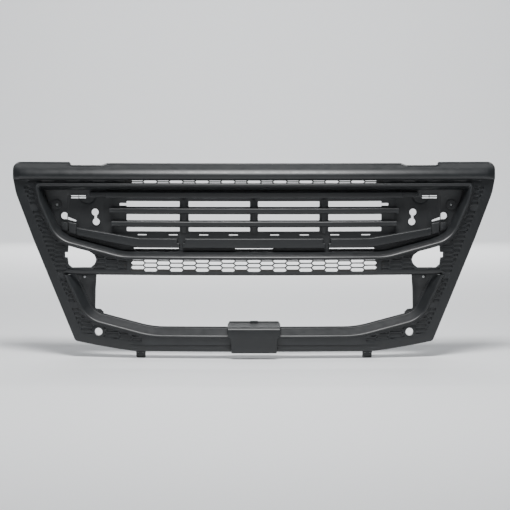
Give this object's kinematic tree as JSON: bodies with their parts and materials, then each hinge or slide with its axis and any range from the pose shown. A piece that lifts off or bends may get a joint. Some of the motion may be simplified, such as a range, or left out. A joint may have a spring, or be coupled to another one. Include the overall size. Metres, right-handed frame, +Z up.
{
  "type": "front grille",
  "caption": "Bowed trapezoid front grille panel of a truck cab with a slatted upper window, honeycomb strips, an open lower window and a sill cover.",
  "frame": {"origin": "centre of the four hinge bolts, on the flat rear faces of the two hinge brackets", "axes": "+X across the panel to its right as seen from the front, +Y to the rear, +Z up"},
  "size_m": [1.92, 0.149, 0.78],
  "materials": {
    "face_plastic": "fine grained dark graphite",
    "inner_plastic": "matt dark graphite",
    "mesh_plastic": "matt, slightly warmer grey",
    "painted_steel": "black coated",
    "zinc_steel": "zinc plated",
    "rubber": "matt black"
  },
  "bodies": {
    "root": {"surround_header": "face_plastic", "surround_waist": "face_plastic", "surround_sill": "face_plastic", "surround_side_left": "face_plastic", "surround_side_right": "face_plastic", "surround_corner_left": "face_plastic", "surround_corner_right": "face_plastic", "upper_bezel": "face_plastic", "lower_bezel_middle": "face_plastic", "lower_bezel_slope_left": "face_plastic", "lower_bezel_slope_right": "face_plastic", "lower_bezel_corner_left": "face_plastic", "lower_bezel_corner_right": "face_plastic", "carrier_side_left": "inner_plastic", "carrier_side_right": "inner_plastic", "carrier_top_rail": "inner_plastic", "carrier_upper_bar": "inner_plastic", "carrier_lower_bar": "inner_plastic", "carrier_bottom_rail": "inner_plastic", "carrier_mullions": "inner_plastic", "top_bar": "face_plastic", "middle_slat": "face_plastic", "lower_slat": "face_plastic", "blade_centre": "face_plastic", "blade_left": "face_plastic", "blade_right": "face_plastic", "blade_bracket_left": "inner_plastic", "blade_bracket_right": "inner_plastic", "upper_mesh": "mesh_plastic", "lower_mesh": "mesh_plastic", "cheek_left": "inner_plastic", "cheek_right": "inner_plastic", "sill_cover": "face_plastic", "tongue_left": "inner_plastic", "tongue_right": "inner_plastic", "hinge_bracket_left": "painted_steel", "hinge_bracket_right": "painted_steel", "bracket_bolts": "zinc_steel", "bracket_nuts": "zinc_steel", "bezel_screws": "zinc_steel", "carrier_screws": "zinc_steel", "slat_screws": "zinc_steel", "boss_screws": "zinc_steel", "boss_clip_nuts": "zinc_steel", "cheek_screws": "zinc_steel", "cover_screws": "zinc_steel", "mesh_clips": "zinc_steel", "tongue_rivets": "zinc_steel", "top_seal": "rubber", "stop_buffers": "rubber"}
  },
  "joints": []
}
